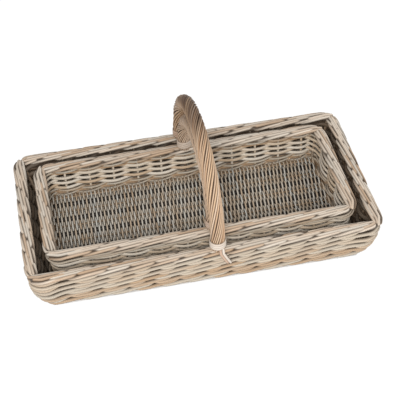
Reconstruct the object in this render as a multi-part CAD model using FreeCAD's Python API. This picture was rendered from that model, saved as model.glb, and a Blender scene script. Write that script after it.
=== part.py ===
import FreeCAD, Part
import math
import os
from FreeCAD import Vector

# A nesting pair of rectangular willow garden trugs. The small trug stands on the floor of the
# large one, with its roped hoop handle just under the large hoop.
# Millimetres, +Z up, X along the trugs, Y across them with the front at -Y.
# The origin is on the ground, under the middle of the large trug.

# Rods of the walls, shared by both trugs
FIT = 0.3                # gap left between two rods that lie against each other
STAKE = 4.4              # side of a square upright stake, set edge-on to the wall
POST = 6.4               # side of a square corner post
STAKE_PITCH = 45.0       # spacing of the upright stakes
WEAVER = 5.0             # thickness of a side-weaving rod through the wall
WEAVER_HEIGHT = 5.6      # height of a side-weaving rod
WALE = 5.4               # thickness of the stout rods that bind the stakes at foot and rim
WALE_HEIGHT = 5.4
UPSETT_ROWS = 2          # rows of stout rods around the foot of the wall
BORDER_ROD = 8.0         # rods of the rim border
BORDER_DROP = 5.0        # how far the side rods of the border lie below its top rod
FOOT_ROD = 9.5           # rod around the underside, on which a trug stands
CORNER_CUT = 12.0        # length taken off each wall at a corner

# Woven base
BASE_STICK = 8.0         # lengthwise sticks of the base
STICK_PITCH = 40.0       # spacing of the base sticks
BASE_BAND = 22.0         # width of a band of fine rods woven across the base
BASE_BAND_THICKNESS = 3.4
BASE_LIFT = 4.7          # underside of the base weave above the ground

# Roped hoop handle
BOW = 12.0               # bent rod inside the handle
STRANDS = 8              # rods laid around the bow
STRAND_GAP = 0.10        # share of a strand's width left open between two strands
STRAND_CROWN = 0.62      # width of a strand's outer face as a share of its inner one
HANDLE_TURNS = 1.7       # turns that the strands make from foot to foot
HANDLE_STEPS = 15        # straight lengths that make up the arch
LEG = 23.0               # straight foot of the hoop above the border
TANG_DEPTH = 62.0        # how far the bow is pushed down into the wall
HOOP_FRONT = 16.0        # the front foot of each hoop stands this far to the right of the middle
HOOP_BACK = 6.0          # the back foot, so that the hoops are turned a little
HOOP_INSET = 4.0         # the feet of a hoop stand this far inside the line of the stakes
COLLAR_LIFT = 2.6        # bottom of the collar above the border
COLLAR_HEIGHT = 20.0
COLLAR_WALL = 1.8
TAIL_WIDTH = 9.0         # loose end of the collar's strip
TAIL_THICKNESS = 4.0
TAIL_DROP = 26.0         # how far the tail hangs below the collar
TAIL_LEAN = 12.0         # how far it slants to the side on the way

# The two trugs. Length and width are over the border, height is from a trug's own foot to its rim.
# The small trug takes its length, width and hoop from the large one and the air left around it.
LARGE_LENGTH = 620.0
LARGE_WIDTH = 322.0
LARGE_HEIGHT = 96.0
LARGE_FLARE = 22.0       # how far each wall leans out from foot to rim
LARGE_OVERALL = 266.0    # foot to top of the hoop
LARGE_HANDLE = 26.0      # thickness of the roped handle
SMALL_HEIGHT = 83.0
SMALL_FLARE = 6.0
SMALL_HANDLE = 24.0
END_GAP = 12.0           # air between the two borders at each end
SIDE_GAP = 17.0          # air between the two borders at front and back
HOOP_GAP = 8.0           # air between the large hoop and the small one under it

UP = Vector(0, 0, 1)
ALONG_X = Vector(1, 0, 0)
ROOT_2 = math.sqrt(2.0)
STAKE_REACH = STAKE / ROOT_2     # from a stake's middle to its edge, through the wall
POST_REACH = POST / ROOT_2
BORDER_REACH = STAKE_REACH + FIT + BORDER_ROD     # from the line of the stakes to the border's edge
LONG_SIDES = ("front", "back")

# Each side of a trug by the way it runs, with its outward direction
SIDES = {
    "front": (Vector(1, 0, 0), Vector(0, -1, 0)),
    "right": (Vector(0, 1, 0), Vector(1, 0, 0)),
    "back": (Vector(-1, 0, 0), Vector(0, 1, 0)),
    "left": (Vector(0, -1, 0), Vector(-1, 0, 0)),
}


# Solids with flat faces

def closed(points):
    return Part.makePolygon(points + [points[0]])


def skin(loops, twisted=False):
    """A solid through loops of points, capped at both ends. Twisted loops get triangles between them."""
    faces = [Part.Face(closed(loops[0])), Part.Face(closed(loops[-1]))]
    count = len(loops[0])
    for here, there in zip(loops, loops[1:]):
        for i in range(count):
            j = (i + 1) % count
            if twisted:
                faces.append(Part.Face(closed([here[i], here[j], there[j]])))
                faces.append(Part.Face(closed([here[i], there[j], there[i]])))
            else:
                faces.append(Part.Face(closed([here[i], here[j], there[j], there[i]])))
    shell = Part.Shell(faces)
    shell.sewShape()
    solid = Part.Solid(shell)
    if solid.Volume < 0:
        solid.reverse()
    return solid


def mitres(path, up, ends=None):
    """At each point of a flat path, the sideways step of one millimetre, lengthened for the mitre.
    Ends are the points before and after the path. Without them its ends are cut square."""
    whole = [ends[0], *path, ends[1]] if ends else path
    sideways = [(b - a).normalize().cross(up) for a, b in zip(whole, whole[1:])]
    if not ends:
        sideways = [sideways[0], *sideways, sideways[-1]]
    steps = []
    for before, after in zip(sideways, sideways[1:]):
        middle = (before + after).normalize()
        steps.append(middle / middle.dot(before))
    return steps


def loops_along(path, section, up, ends=None):
    """A section, given as (sideways, upwards) points, laid at each point of a flat path."""
    laid = zip(path, mitres(path, up, ends))
    return [[point + step * s + up * u for s, u in section] for point, step in laid]


def rod(path, section, up):
    return skin(loops_along(path, section, up))


def parted(loops):
    """A rod drawn in at both ends by half a gap, so that it only just clears the next one."""
    first = (loops[1][0] - loops[0][0]).normalize() * (FIT / 2)
    last = (loops[-2][0] - loops[-1][0]).normalize() * (FIT / 2)
    ends = [point + first for point in loops[0]], [point + last for point in loops[-1]]
    return skin([ends[0], *loops[1:-1], ends[1]])


def six_sided(thickness, height):
    """A rod's section with flat top and bottom and a ridge on each side."""
    t, h = thickness / 2.0, height / 2.0
    return [(t, 0), (t / 2, h), (-t / 2, h), (-t, 0), (-t / 2, -h), (t / 2, -h)]


def four_sided(thickness, height):
    """A slim rod's section with a ridge on each side, on top and underneath."""
    t, h = thickness / 2.0, height / 2.0
    return [(t, 0), (0, h), (-t, 0), (0, -h)]


def flat_strip(thickness, width):
    t, w = thickness / 2.0, width / 2.0
    return [(t, -w), (t, w), (-t, w), (-t, -w)]


def regular(radius, sides):
    """A regular section with its points in the upward direction, for an even half-count of sides."""
    half = math.pi / sides
    turns = [half + 2 * half * i for i in range(sides)]
    return [(radius * math.cos(a), radius * math.sin(a)) for a in turns]


def passing_offset(reach, thickness, pitch):
    """How far the middle of a woven rod lies from the row of sticks that it passes at a given pitch."""
    offset = reach + FIT + thickness / 2
    for _ in range(12):
        slope = math.atan(2 * offset / pitch)
        offset = reach + FIT + thickness / 2 / math.cos(slope)
    return offset


WEAVE_OFFSET = passing_offset(STAKE_REACH, WEAVER, STAKE_PITCH)


class Trug:
    """One trug: where its walls run at each height, and the pieces that it is made of."""

    def __init__(self, name, length, width, height, flare, ground, hoop_top, handle):
        self.name = name
        self.ground = ground
        self.flare = flare
        self.rim = ground + height
        self.handle = handle
        self.rim_length = length / 2.0 - BORDER_REACH
        self.rim_width = width / 2.0 - BORDER_REACH
        self.hoop_crown = hoop_top - handle / 2.0
        self.border_middle = self.rim - BORDER_DROP - BORDER_ROD / 2
        self.upsett_bottom = ground + FOOT_ROD + FIT
        self.upsett_top = self.upsett_bottom + UPSETT_ROWS * (WALE_HEIGHT + FIT)
        self.top_wale_bottom = self.border_middle - BORDER_ROD / 2 - FIT - WALE_HEIGHT
        base_width = 2 * self.base_reach("front")[0]
        self.sticks = round(base_width / STICK_PITCH)
        self.stick_pitch = base_width / self.sticks
        self.band_rise = passing_offset(BASE_STICK / 2, BASE_BAND_THICKNESS, self.stick_pitch)
        band_crest = 2 * self.band_rise - BASE_STICK / 2 - FIT
        self.base_middle = ground + BASE_LIFT + band_crest
        self.floor = self.base_middle + band_crest
        self.hoop_span = self.halves("front", self.rim)[1] - HOOP_INSET
        feet = [self.point(side, self.hoop_along(side), self.hoop_span, 0) for side in LONG_SIDES]
        self.hoop_middle = (feet[0] + feet[1]) / 2
        self.hoop_half = feet[1] - self.hoop_middle
        self.hoop_axis = self.hoop_half.cross(UP).normalize()

    # Where the walls run

    def halves(self, side, z):
        """Half a wall's run along a side, and its distance out from the middle, at a height."""
        lean = self.flare * (self.border_middle - z) / (self.border_middle - self.ground)
        length, width = self.rim_length - lean, self.rim_width - lean
        return (length, width) if side in LONG_SIDES else (width, length)

    def point(self, side, along, out, z):
        run, outward = SIDES[side]
        return run * along + outward * out + UP * z

    def hoop_along(self, side):
        """Where the hoop goes into a long side, measured along that side."""
        return SIDES[side][0].x * (HOOP_FRONT if side == "front" else HOOP_BACK)

    def stake_places(self, side):
        """Stakes at an even pitch about the hoop, or about the middle of an end, with an odd count."""
        half, _ = self.halves(side, self.ground)
        middle = self.hoop_along(side)
        each_way = int((half - CORNER_CUT - abs(middle)) / STAKE_PITCH - 0.25)
        return [middle + STAKE_PITCH * i for i in range(-each_way, each_way + 1)]

    def side_run(self, side, z, beside, around, between=()):
        """Points along one side, from the corner where it begins to the corner where it ends.
        beside and around are the offsets outwards from the line of the stakes and of the posts."""
        half, out = self.halves(side, z)
        knee = half - CORNER_CUT + ROOT_2 * around - beside
        flat = [(-knee, out + beside), *between, (knee, out + beside)]
        return [self.point(side, along, away, z) for along, away in flat]

    def ring(self, runs, section):
        """The loops of rods along the four sides, and of the short ones across the chamfered corners."""
        path = [point for run in runs.values() for point in run]
        loops = loops_along(path, section, UP, (path[-1], path[0]))
        sides, corners = {}, []
        first = 0
        for side, run in runs.items():
            after = first + len(run)
            sides[side] = loops[first:after]
            corners.append([loops[after - 1], loops[after % len(loops)]])
            first = after
        return sides, corners

    def ring_of_rods(self, z, section, beside, around):
        runs = {side: self.side_run(side, z, beside, around) for side in SIDES}
        sides, corners = self.ring(runs, section)
        return [parted(loops) for loops in [*sides.values(), *corners]]

    def rods_by_stakes(self, z, section, thickness, inside):
        """A ring of rods lying against the stakes, outside or inside the wall."""
        turn = -1 if inside else 1
        beside = turn * (STAKE_REACH + FIT + thickness / 2)
        around = turn * (POST_REACH + FIT + thickness / 2)
        return self.ring_of_rods(z, section, beside, around)

    # Base

    def base_reach(self, side):
        """How far the base may reach towards a side, and the sum of both reaches at a corner."""
        half, out = self.halves(side, self.upsett_bottom)
        wall = STAKE_REACH + FIT + WALE
        post = POST_REACH + FIT + WALE
        return out - wall - FIT, half + out - CORNER_CUT - ROOT_2 * post - FIT

    def stick_places(self):
        return [self.stick_pitch * (i - (self.sticks - 1) / 2.0) for i in range(self.sticks)]

    def base_sticks(self):
        reach, corner = self.base_reach("right")
        section = regular(BASE_STICK / 2, 6)
        sticks = []
        for y in self.stick_places():
            end = min(reach, corner - abs(y) - BASE_STICK / 2)
            path = [Vector(-end, y, self.base_middle), Vector(end, y, self.base_middle)]
            sticks.append(rod(path, section, UP))
        return sticks

    def band_path(self, x, width, first):
        """A band across the base, over one stick and under the next. Where a corner cuts it short
        it stops before the first stick that it can't pass with room to spare."""
        reach, corner = self.base_reach("front")
        room = min(reach, corner - abs(x) - width / 2)
        end = room
        crests = []
        for j, y in enumerate(self.stick_places()):
            if abs(y) + 0.4 * self.stick_pitch <= room:
                crests.append(Vector(x, y, self.base_middle + self.band_rise * (-1) ** (first + j)))
            else:
                end = min(end, abs(y) - BASE_STICK / 2 - FIT)
        return [Vector(x, -end, self.base_middle), *crests, Vector(x, end, self.base_middle)]

    def base_weave(self):
        length, _ = self.base_reach("right")
        count = int(2 * length / (BASE_BAND + FIT))
        pitch = 2 * length / count
        section = flat_strip(BASE_BAND_THICKNESS, pitch - FIT)
        places = [pitch * (i - (count - 1) / 2.0) for i in range(count)]
        return [rod(self.band_path(x, pitch, i), section, ALONG_X) for i, x in enumerate(places)]

    def foot_ring(self):
        return self.ring_of_rods(self.ground + FOOT_ROD / 2, six_sided(FOOT_ROD, FOOT_ROD), 0, 0)

    # Walls

    def upright(self, place, away, reach, bottom, top):
        """A square upright, edge-on to the wall, through the place of the wall at two heights."""
        across = away.cross(UP)
        loops = []
        for z in (bottom, top):
            middle = place(z)
            loops.append([middle + away * reach, middle + across * reach,
                          middle - away * reach, middle - across * reach])
        return skin(loops)

    def wall_upright(self, side, along, bottom, top):
        def place(z):
            return self.point(side, along, self.halves(side, z)[1], z)
        return self.upright(place, SIDES[side][1], STAKE_REACH, bottom, top)

    def side_stakes(self):
        """All stakes but the one on each long side whose place the hoop takes."""
        made = []
        for side in SIDES:
            for along in self.stake_places(side):
                if side in LONG_SIDES and along == self.hoop_along(side):
                    continue
                made.append(self.wall_upright(side, along, self.upsett_bottom, self.rim - BORDER_ROD - FIT))
        return made

    def corner_post(self, side):
        run, outward = SIDES[side]

        def place(z):
            half, out = self.halves(side, z)
            return self.point(side, half - CORNER_CUT / 2, out - CORNER_CUT / 2, z)
        away = (run + outward).normalize()
        return self.upright(place, away, POST_REACH, self.upsett_bottom, self.rim - BORDER_ROD - FIT)

    def corner_posts(self):
        return [self.corner_post(side) for side in SIDES]

    def weave_row(self, row, z):
        """One row of rods in and out of the stakes all round, each row opposite to the one below."""
        first = 1 if row % 2 == 0 else -1
        around = first * (POST_REACH + FIT + WEAVER / 2)
        runs = {}
        for side in SIDES:
            _, out = self.halves(side, z)
            between = [(along, out - first * WEAVE_OFFSET * (-1) ** i)
                       for i, along in enumerate(self.stake_places(side))]
            runs[side] = self.side_run(side, z, around, around, between)
        return self.ring(runs, four_sided(WEAVER, WEAVER_HEIGHT))

    def wall_weave(self):
        """The woven rods of each wall and of the corners between them."""
        bottom, top = self.upsett_top, self.top_wale_bottom
        count = int((top - bottom) / (WEAVER_HEIGHT + FIT))
        pitch = (top - bottom) / count
        walls = {name: [] for name in [*SIDES, "corner"]}
        for row in range(count):
            sides, corners = self.weave_row(row, bottom + pitch * (row + 0.5) - FIT / 2)
            for side, loops in sides.items():
                walls[side].append(parted(loops))
            walls["corner"] += [parted(loops) for loops in corners]
        return walls

    def wale(self, bottom):
        """A pair of stout rods around the trug, one outside the stakes and one inside."""
        z = bottom + WALE_HEIGHT / 2
        section = four_sided(WALE, WALE_HEIGHT)
        return self.rods_by_stakes(z, section, WALE, False) + self.rods_by_stakes(z, section, WALE, True)

    def upsett(self):
        bottoms = [self.upsett_bottom + row * (WALE_HEIGHT + FIT) for row in range(UPSETT_ROWS)]
        return [made for bottom in bottoms for made in self.wale(bottom)]

    def top_wale(self):
        return self.wale(self.top_wale_bottom)

    # Border

    def border_side(self, inside):
        section = six_sided(BORDER_ROD, BORDER_ROD)
        return self.rods_by_stakes(self.border_middle, section, BORDER_ROD, inside)

    def border_top(self):
        """The rods over the ends of the stakes, parted on the long sides where the hoop goes in."""
        z = self.rim - BORDER_ROD / 2
        runs = {}
        for side in SIDES:
            _, out = self.halves(side, z)
            parting = [(self.hoop_along(side) + turn * STAKE_REACH, out) for turn in (-1, 1)]
            runs[side] = self.side_run(side, z, 0, 0, parting if side in LONG_SIDES else ())
        sides, corners = self.ring(runs, six_sided(BORDER_ROD, BORDER_ROD))
        halves = [loops[i:i + 2] for side, loops in sides.items() for i in range(0, len(loops), 2)]
        return [parted(loops) for loops in halves + corners]

    # Handle

    def hoop_path(self):
        """Middle line of the hoop: a straight foot at the front, half an ellipse and a foot at the back."""
        shoulder = self.rim + LEG
        rise = self.hoop_crown - shoulder
        foot = UP * (self.rim + FIT)
        path = [self.hoop_middle - self.hoop_half + foot]
        for i in range(HANDLE_STEPS + 1):
            turn = math.pi * i / HANDLE_STEPS
            across = self.hoop_half * math.cos(turn)
            path.append(self.hoop_middle - across + UP * (shoulder + rise * math.sin(turn)))
        path.append(self.hoop_middle + self.hoop_half + foot)
        return path

    def handle_bow(self):
        """The bent rod inside the handle, with a square tang at each end pushed into the wall."""
        bow = rod(self.hoop_path(), regular(BOW / 2, 6), self.hoop_axis)
        tangs = [self.wall_upright(side, self.hoop_along(side), self.rim - TANG_DEPTH, self.rim + FIT)
                 for side in LONG_SIDES]
        return [bow.fuse(tangs).removeSplitter()]

    def strand_section(self):
        """A strand's section as (radius, angle) points about the bow."""
        half = math.pi / STRANDS
        step = 2 * math.pi * HANDLE_TURNS / (HANDLE_STEPS + 2)
        wide = half * (1 - STRAND_GAP)
        inner = (BOW / 2 + FIT) / math.cos(wide + step / 2)
        outer = self.handle / 2
        crown = wide * STRAND_CROWN
        return [(inner, -wide), (outer, -crown), (outer, crown), (inner, wide)]

    def handle_strands(self):
        """Rods laid around the bow in a slow twist, rising to the right on the near side."""
        path = self.hoop_path()
        axis = self.hoop_axis
        steps = mitres(path, axis)
        section = self.strand_section()
        strands = []
        for i in range(STRANDS):
            loops = []
            for k, (point, step) in enumerate(zip(path, steps)):
                turn = 2 * math.pi * (i / STRANDS - HANDLE_TURNS * k / (len(path) - 1))
                loops.append([point + step * (r * math.cos(turn + a)) + axis * (r * math.sin(turn + a))
                              for r, a in section])
            strands.append(skin(loops, twisted=True))
        return strands

    def collar(self, side):
        """A strip bound round the foot of the handle, above the border."""
        middle = self.point(side, self.hoop_along(side), self.hoop_span, self.rim + COLLAR_LIFT)
        bore = (self.handle / 2 + FIT) / math.cos(math.pi / 12)
        rings = [Part.Wire(closed([middle + Vector(x, y, 0) for x, y in regular(radius, 12)]))
                 for radius in (bore + COLLAR_WALL, bore)]
        return [Part.Face(rings).extrude(UP * COLLAR_HEIGHT)]

    def collar_tails(self):
        """The loose end of each collar's strip, slanting down over the outside of the border."""
        near = self.rim_width + BORDER_REACH + FIT
        made = []
        for side in LONG_SIDES:
            run = SIDES[side][0]
            first = self.hoop_along(side)
            corners = [(first, near), (first + TAIL_WIDTH, near),
                       (first + TAIL_WIDTH, near + TAIL_THICKNESS), (first, near + TAIL_THICKNESS)]
            face = Part.Face(closed([self.point(side, along, out, self.rim) for along, out in corners]))
            made.append(face.extrude(run * TAIL_LEAN - UP * TAIL_DROP))
        return made

    def nodes(self):
        made = {
            "base_sticks": self.base_sticks(),
            "base_weave": self.base_weave(),
            "foot_ring": self.foot_ring(),
            "corner_posts": self.corner_posts(),
            "side_stakes": self.side_stakes(),
            "upsett": self.upsett(),
            "top_wale": self.top_wale(),
            "border_outer": self.border_side(inside=False),
            "border_inner": self.border_side(inside=True),
            "border_top": self.border_top(),
            "handle_bow": self.handle_bow(),
            "handle_strands": self.handle_strands(),
            "front_collar": self.collar("front"),
            "back_collar": self.collar("back"),
            "collar_tails": self.collar_tails(),
        }
        for wall, rods in self.wall_weave().items():
            made[wall + "_weave"] = rods
        return {self.name + "_" + node: solids for node, solids in made.items()}


def main():
    large = Trug("large", LARGE_LENGTH, LARGE_WIDTH, LARGE_HEIGHT, LARGE_FLARE,
                 0.0, LARGE_OVERALL, LARGE_HANDLE)
    small_length = LARGE_LENGTH - 4 * BORDER_REACH - 2 * END_GAP
    small_width = LARGE_WIDTH - 4 * BORDER_REACH - 2 * SIDE_GAP
    small_top = LARGE_OVERALL - LARGE_HANDLE - HOOP_GAP
    small = Trug("small", small_length, small_width, SMALL_HEIGHT, SMALL_FLARE,
                 large.floor + FIT, small_top, SMALL_HANDLE)
    os.makedirs("parts", exist_ok=True)
    for trug in (large, small):
        for node, solids in trug.nodes().items():
            shape = Part.makeCompound(solids)
            shape.exportStep("parts/" + node + ".step")


main()
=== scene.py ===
import math
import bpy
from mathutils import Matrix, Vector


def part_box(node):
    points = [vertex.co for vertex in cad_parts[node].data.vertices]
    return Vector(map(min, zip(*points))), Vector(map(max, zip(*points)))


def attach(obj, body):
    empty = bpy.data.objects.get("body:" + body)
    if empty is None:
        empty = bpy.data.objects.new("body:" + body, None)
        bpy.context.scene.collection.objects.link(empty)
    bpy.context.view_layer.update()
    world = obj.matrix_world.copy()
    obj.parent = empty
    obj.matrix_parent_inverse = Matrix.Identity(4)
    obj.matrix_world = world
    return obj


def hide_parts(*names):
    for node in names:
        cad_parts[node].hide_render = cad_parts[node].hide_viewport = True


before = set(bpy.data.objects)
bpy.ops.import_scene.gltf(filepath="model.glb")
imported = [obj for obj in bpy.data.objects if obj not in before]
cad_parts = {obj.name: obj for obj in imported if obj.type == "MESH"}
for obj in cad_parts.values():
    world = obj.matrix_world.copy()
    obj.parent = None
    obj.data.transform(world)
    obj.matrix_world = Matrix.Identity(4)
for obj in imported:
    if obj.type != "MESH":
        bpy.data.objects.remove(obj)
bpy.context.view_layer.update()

from types import SimpleNamespace

import bpy
import numpy as np
from mathutils import Matrix, Vector

# A nesting pair of woven willow garden trugs, every rod a tube of its own.
# Metres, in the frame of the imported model: X along the trugs, the front at -Y, +Z up.

MM = 0.001
TURN = 2 * math.pi

# Camera, fitted to the rims, floors and hoops in the photograph. Angles in degrees.
IMAGE_WIDTH = 400
FOCAL_PIXELS = 1036.0
CAMERA_PITCH = 44.4
CAMERA_YAW = -9.8
CAMERA_ROLL = -2.0
CAMERA_DISTANCE = 1967 * MM
CAMERA_TARGET = (25.2 * MM, 66.5 * MM, 0.0)
SENSOR_WIDTH = 36.0

# Studio
SKY = 0.6  # strength of the white surroundings
KEY_LAMP = dict(place=(-0.4, -1.9, 1.7), size=0.9, power=50.0, tint=(1.0, 0.98, 0.95))
FILL_LAMP = dict(place=(1.8, 0.4, 1.6), size=1.4, power=14.0, tint=(0.95, 0.98, 1.0))
FLOOR_HALF = 8.0
FLOOR_GREY = 0.86
FLOOR_GLOW = 1.08  # strength of the white that the camera sees
FLOOR_WHITENING = 0.88  # its share, the rest is the lit floor

# The two trugs. The large one is waled from foot to border, the small one has plain side weaving.
# wall_look is the look of woven wall and stakes, wale the thickness of the waling's rods. The inner and
# floor shares tell how far the waling inside and the base on top are spared painted shade, and
# crown_stain how dark the crown of the handle is. Tones and recess are as in Rods.
# The large trug's low inner and floor shares put painted shade over its inside and the top of its base,
# around the small trug.
LARGE = SimpleNamespace(
    name="large", seed=100, waled=True, wall_look="wall", wall_tones=(0.0, 1.0), foot_tones=(0.0, 0.6),
    # The large trug's stake_recess darkens its stakes with painted shade.
    wale=6.9 * MM, wale_recess=(2.4 * MM, 7.2 * MM), inner_unshaded=0.12, stake_recess=(0.0, 6.0 * MM),
    floor_unshaded=0.15, strand_tones=(0.0, 1.0), crown_stain=1.0)
SMALL = SimpleNamespace(
    name="small", seed=200, waled=False, wall_look="side", wall_tones=(0.1, 1.0), foot_tones=(0.55, 1.0),
    wale=4.4 * MM, wale_recess=(-2.0 * MM, 3.0 * MM), inner_unshaded=1.0, stake_recess=(-6.0 * MM, -2.0 * MM),
    floor_unshaded=1.0, strand_tones=(0.5, 0.8), crown_stain=0.5)

# Tubes
END_BULGE = 0.18  # how far a rod's end bulges, in sums of thickness and width
END_SIZE = 0.6  # size of the very end, as a share of the rod
FLANK_EDGE = 0.42  # cosine of the angle from the face where the painted shade on the flank starts to lift
FLANK_FADE = 0.5  # and how much larger it is where the flank ends
GRAIN_RUN = 5.0  # length out of which each rod takes its grain
SLOW_WAVE = 0.6  # share of a rod's wander in its slow wave
QUICK_WAVE = 1.7  # waves of the quicker wave to one of the slow
RING_STEP = 2 * MM  # between points of a ring
RING_EASE = 3  # points on either side that ease its corners
LAID_STEP = 6 * MM  # between points of rods laid round a trug
STAKE_STEPS = 10  # points of a woven rod to one stake pitch
# darkest tone, for the rods laid in as painted shade behind the waling and at the base's edge
SHADE_ROD_TINT = (0.0, 0.5, 0.5)

# Walls
STAKE_PITCH = 45 * MM
STAKE_MARGIN = 0.25  # least room between the last stake and a corner, in stake pitches
STAKE = 5.0 * MM
POST = 7.0 * MM
# The posts lie in the middle of the weave, so they are darkened with painted shade.
POST_RECESS = (0.0, 7.0 * MM)
UPRIGHT_STEPS = 6
AIR = 0.3 * MM  # between a weaving rod and the stakes that it passes
CUT_GAP = 0.5 * MM  # from a rod's end to the stake where it is cut
CORNER_CUT = 12 * MM
CORNER_SWELL = 8 * MM  # how far the waling stands out from the corners at half height
SWELL_WIDTH = 24 * MM  # how far it reaches along the wall

# Plain side weaving
WEAVER = 3.8 * MM  # thickness of a rod
WEAVER_HEIGHT = 7.2 * MM
WEAVER_RANGE = (0.9, 1.06)
WEAVER_SWELLING = (0.05, 90 * MM)
WEAVER_WANDER = (0.5 * MM, 160 * MM)
WEAVER_RECESS = (-3.0 * MM, 0.6 * MM)
WEAVER_FLANK = 0.8
WEAVER_SPAN = (4, 8)  # length of a rod, in pairs of stakes
ROW_PITCH = 5.3 * MM

# Waling
WALE_ROW = 2.05  # height taken by one round of three-rod waling, in rods
WALE_RISE = 1.5  # how far a waling rod climbs while it runs outside, in rods
WALE_BEATS = [0, 0.15, 1.5, 2.85, 3]  # stakes passed since a rod came outside
WALE_CLIMB = [-0.46, -0.42, 0.5, -0.5, -0.46]  # and its height there, as a share of the rise
WALE_TURN = 0.9  # stake pitches in which a rod goes in or comes out
WALE_IN = 1.05  # stakes passed where it starts to go in
WALE_OUT = 2.05  # and where it starts to come out again
WALE_LAG = 0.2  # how far rounds are shifted against each other, in stake pitches
WALE_TALL = 1.22  # height of a rod, in thicknesses
WALE_RANGE = (0.92, 1.08)
WALE_WANDER = (0.4 * MM, 120 * MM)
WALE_FLANK = 0.05
WALE_SPAN = (3, 5)  # length of a rod, in threes of stakes
RIM_TUCK = 2 * MM  # how far the waling goes up inside the border
FILLER = (4.6 * MM, 6.0 * MM)  # thickness and height of the rods between the stakes, dark with painted shade
EDGE_ROD = (4.5 * MM, 3 * MM)  # and of those at the edge of the base
EDGE_INSETS = (5 * MM, 9 * MM)
EDGE_RISE = 2 * MM  # from the foot of the wall
LAID_DEPTH = -3 * MM  # depth that keeps both kinds dark with painted shade

# Border
BORDER_ROD = 6.0 * MM
BORDER_LANES = 4  # strokes side by side, from outside over to inside
BORDER_STROKE = 76 * MM  # length of one stroke
BORDER_SWEEP = math.radians(112)  # from the top of the border down to the outer lanes
BORDER_STAGGER = 0.37  # lag of each lane behind the one before, in stake pitches
BORDER_RECESS = (5.8 * MM, 9.0 * MM)
BORDER_FLANK = 0.08
INNER_CUT = 4 * MM  # chamfer of the corners on the inside of the border
CORNER_RUN = 8 * MM  # from a corner's middle to where strokes follow the side
CORNER_END = 1 * MM  # from the last strokes' ends to the next corner's middle
CROSSING = (0.3, 0.4)  # place where strokes leave the outer line, and in which they reach the inner
STROKE_STEPS = 26
STROKE_RANGE = (0.86, 1.1)
STROKE_LENGTHS = (0.88, 1.12)
STROKE_SHIFT = 3 * MM  # how far strokes lie from even spacing
STROKE_DRIFT = 0.08  # and from the middle of their lanes, in lanes
STROKE_LANES = 1.1  # lanes that a stroke crosses
STROKE_DEEP = 0.42  # radius, as in add_stroke, where strokes come up and dive in
STROKE_BEND = 0.2  # share of a stroke in which it comes up or dives in
STROKE_WANDER = (0.03, 90 * MM)
STROKE_FLAT = 0.95  # thickness of a stroke, in rods
STROKE_TAPER = 0.4  # share of its size that a stroke loses towards the middle
STROKE_NARROWING = 0.5  # and of its width besides
STROKE_DEPTH = 8.4 * MM  # of a stroke on the section, for the painted shade
STROKE_SINK = 1.6 * MM  # taken off the depth of every stroke, which deepens its painted shade
TIP_START = (-7 * MM, 2 * MM)  # where strokes with a tip begin, from a corner's middle
TIP_LENGTHS = (0.7, 1.0)
TIP_LANES = 0.9  # lanes that such a stroke crosses
TIP_RISE = 0.62  # how far it rises above STROKE_DEEP
CORE_ROD = 5 * MM  # thickness of the core's three rods, which lie side by side
CORE_STEP = 5 * MM
CORE_DROP = 1.5 * MM  # how much lower its outer and inner rods lie
CORE_TALL = 2.2  # height of the core, in half heights of the section

# Base
FOOT_RECESS = (0.6 * MM, 3.6 * MM)
FOOT_STEP = 4 * MM
FOOT_STRAND = 0.53  # thickness of one of its three rods, as a share
FOOT_LAY = 60 * MM  # length of one turn of them
FINE_ROD = 3.3 * MM
FINE_PITCH = 3.5 * MM
FINE_STEP = 4 * MM
FINE_RANGE = (0.92, 1.06)
FINE_FLAT = 1.1  # width of a fine rod, in thicknesses
FINE_SIDES = 6
FINE_WANDER = (0.3 * MM, 150 * MM)
FINE_RECESS = (-6.0 * MM, -2.5 * MM)
FINE_FLANK = 0.4
BASE_TUCK = 2 * MM  # how far fine rods go in under the long walls
BASE_INSET = 4 * MM  # how far the base stays back from the chamfered corners
STICK = 8.0 * MM
STICK_WIDTH = 8.0 * MM
STICK_PITCH = 40 * MM  # of the stout sticks
STICK_ROOM = 12.5 * MM  # length in which a fine rod comes down beside a stout stick
STICK_CREST = 0.3  # where that begins, in widths from its middle
STICK_FLAT = 0.8  # thickness of a stick once flattened
STICK_RECESS = (-2.0 * MM, 1.0 * MM)
STICK_STEPS = 12
THIN_STICK = 4.0 * MM

# Handle. Shares are of the hoop's length, from the front foot to the back foot.
HOOP_STEPS = 110
ARC_STEPS = 200
STRANDS = 17
STRAND = 5.4 * MM
STRAND_FILL = 0.92  # share of its room around the bow that a strand takes
STRAND_RANGE = (0.7, 1.3)
STRAND_RECESS = (-3.6 * MM, -1.0 * MM)  # from the outside of the handle
STRAND_FLANK = 0.05
STRAND_SINK = 0.8 * MM  # how much deeper than the others a strand may lie
STRAND_SWAY = (0.06, 0.6)  # wander of a strand around the bow
STRAND_SWING = (0.02, 0.4)  # wander of its distance from the bow
HANDLE_TURNS = 2.5
TWIST_SPREAD = 0.25  # how much slower the twist is at the feet, and faster at the crown
CROWN_PLACE = 0.58  # share where the dark crown has its middle
CROWN_FADE = 0.17  # and in which its darkness goes
CROWN_LEVEL = 1.4  # darkness of its middle before the limit of 1
CROWN_INNER = 0.2  # stain of the crown all round
CROWN_OUTER = (0.35, 0.75)  # and how much more is added outside
CROWN_SIDE = 0.6  # cosine of the angle from the hoop's inside where that begins
LEG = 23 * MM
BOW = 12 * MM
BOW_STEPS = 60
TANG_STEPS = 5

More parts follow.
